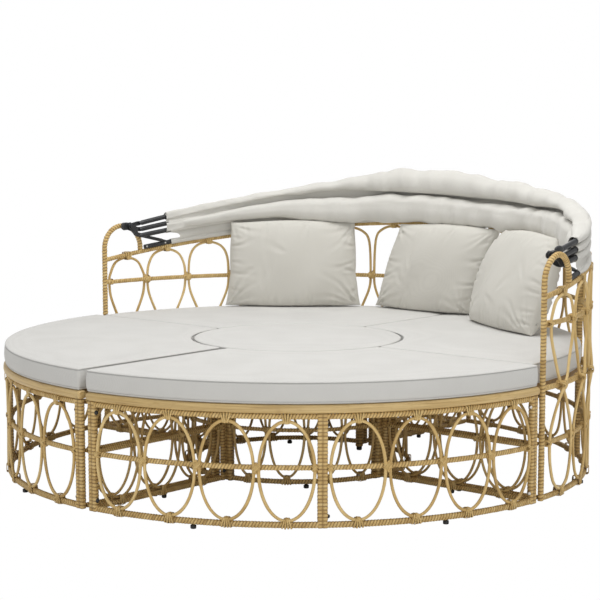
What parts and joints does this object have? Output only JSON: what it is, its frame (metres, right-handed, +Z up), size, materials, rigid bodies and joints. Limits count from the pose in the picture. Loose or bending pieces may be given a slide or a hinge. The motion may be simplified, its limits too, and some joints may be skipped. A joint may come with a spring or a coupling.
{
  "type": "outdoor daybed with canopy",
  "caption": "Round outdoor daybed of rattan-wrapped quarter sections around an ottoman, with seat cushions, pillows, a curved backrest and a folding hooped canopy.",
  "frame": {"origin": "on the floor, under the middle of the round daybed", "axes": "+Z up, +Y towards the back, where the backrest and the canopy are, +X towards the right of a person facing the back"},
  "size_m": [1.7998, 1.7998, 0.8815],
  "materials": {
    "rattan": "satin, wrapped in rattan core",
    "cap": "satin lacquer, smooth with lengthwise grain",
    "cushion": "matte woven outdoor fabric over foam",
    "pillow": "matte woven fabric over loose filling",
    "canopy": "matte woven fabric",
    "tube": "black satin powder coat",
    "hardware": "black satin powder coat",
    "glide": "matte"
  },
  "bodies": {
    "rear_section": {"rear_right_back_panel": "rattan", "rear_right_inner_panel": "rattan", "rear_right_side_end_panel": "rattan", "rear_right_middle_end_panel": "rattan", "rear_right_seat_deck": "rattan", "rear_right_seat_cushion": "cushion", "rear_right_glide_foot_1": "glide", "rear_right_glide_foot_2": "glide", "rear_right_glide_foot_3": "glide", "rear_left_back_panel": "rattan", "rear_left_inner_panel": "rattan", "rear_left_side_end_panel": "rattan", "rear_left_middle_end_panel": "rattan", "rear_left_seat_deck": "rattan", "rear_left_seat_cushion": "cushion", "rear_left_glide_foot_1": "glide", "rear_left_glide_foot_2": "glide", "rear_left_glide_foot_3": "glide", "canopy_rear_bow": "tube", "right_canopy_bracket": "hardware", "right_canopy_pivot_bolt": "hardware", "right_canopy_strut": "hardware", "left_canopy_bracket": "hardware", "left_canopy_pivot_bolt": "hardware", "left_canopy_strut": "hardware", "rear_section_clip_1": "hardware", "rear_section_clip_2": "hardware"},
    "front_right_section": {"front_right_base_panel": "rattan", "front_right_inner_panel": "rattan", "front_right_middle_end_panel": "rattan", "front_right_side_end_panel": "rattan", "front_right_seat_deck": "rattan", "front_right_cap_rail": "cap", "front_right_glide_foot_1": "glide", "front_right_glide_foot_2": "glide", "front_right_glide_foot_3": "glide"},
    "front_left_section": {"front_left_base_panel": "rattan", "front_left_inner_panel": "rattan", "front_left_middle_end_panel": "rattan", "front_left_side_end_panel": "rattan", "front_left_seat_deck": "rattan", "front_left_cap_rail": "cap", "front_left_glide_foot_1": "glide", "front_left_glide_foot_2": "glide", "front_left_glide_foot_3": "glide"},
    "front_right_cushion": {"front_right_seat_cushion": "cushion"},
    "front_left_cushion": {"front_left_seat_cushion": "cushion"},
    "ottoman": {"ottoman_frame": "rattan", "ottoman_top": "cap"},
    "ottoman_seat": {"ottoman_cushion": "cushion"},
    "left_pillow": {"left_pillow": "pillow"},
    "middle_pillow": {"middle_pillow": "pillow"},
    "right_pillow": {"right_pillow": "pillow"},
    "third_bow": {"canopy_third_bow": "tube", "canopy_rear_fabric": "canopy"},
    "second_bow": {"canopy_second_bow": "tube", "canopy_middle_fabric": "canopy"},
    "front_bow": {"canopy_front_bow": "tube", "canopy_front_fabric": "canopy"}
  },
  "joints": [
    {"name": "front_right_section_slide", "type": "slide", "parent": "rear_section", "child": "front_right_section", "axis": [0.7071, -0.7071, 0], "range_m": [0, 0.6]},
    {"name": "front_left_section_slide", "type": "slide", "parent": "rear_section", "child": "front_left_section", "axis": [-0.7071, -0.7071, 0], "range_m": [0, 0.6]},
    {"name": "front_right_cushion_lift", "type": "slide", "parent": "front_right_section", "child": "front_right_cushion", "axis": [0, 0, 1], "range_m": [0, 0.25]},
    {"name": "front_left_cushion_lift", "type": "slide", "parent": "front_left_section", "child": "front_left_cushion", "axis": [0, 0, 1], "range_m": [0, 0.25]},
    {"name": "ottoman_lift", "type": "slide", "parent": "rear_section", "child": "ottoman", "axis": [0, 0, 1], "range_m": [0, 0.5]},
    {"name": "ottoman_cushion_lift", "type": "slide", "parent": "ottoman", "child": "ottoman_seat", "axis": [0, 0, 1], "range_m": [0, 0.25]},
    {"name": "left_pillow_lift", "type": "slide", "parent": "rear_section", "child": "left_pillow", "axis": [0, -0.9397, 0.342], "range_m": [0, 0.22]},
    {"name": "middle_pillow_lift", "type": "slide", "parent": "rear_section", "child": "middle_pillow", "axis": [0, -0.9397, 0.342], "range_m": [0, 0.22]},
    {"name": "right_pillow_lift", "type": "slide", "parent": "rear_section", "child": "right_pillow", "axis": [0, -0.9397, 0.342], "range_m": [0, 0.22]},
    {"name": "third_bow_hinge", "type": "hinge", "parent": "rear_section", "child": "third_bow", "pos_m": [0, 0.11, 0.7], "axis": [1, 0, 0], "range_deg": [0, 29.5], "deforming": ["canopy_rear_fabric"]},
    {"name": "second_bow_hinge", "type": "hinge", "parent": "third_bow", "child": "second_bow", "pos_m": [0, 0.11, 0.7], "axis": [1, 0, 0], "range_deg": [0, 29.5], "deforming": ["canopy_middle_fabric"]},
    {"name": "front_bow_hinge", "type": "hinge", "parent": "second_bow", "child": "front_bow", "pos_m": [0, 0.11, 0.7], "axis": [1, 0, 0], "range_deg": [0, 29.5], "deforming": ["canopy_front_fabric"]}
  ],
  "couplings": [
    {"joint": "second_bow_hinge", "follows": "third_bow_hinge", "ratio": 1},
    {"joint": "front_bow_hinge", "follows": "third_bow_hinge", "ratio": 1}
  ]
}
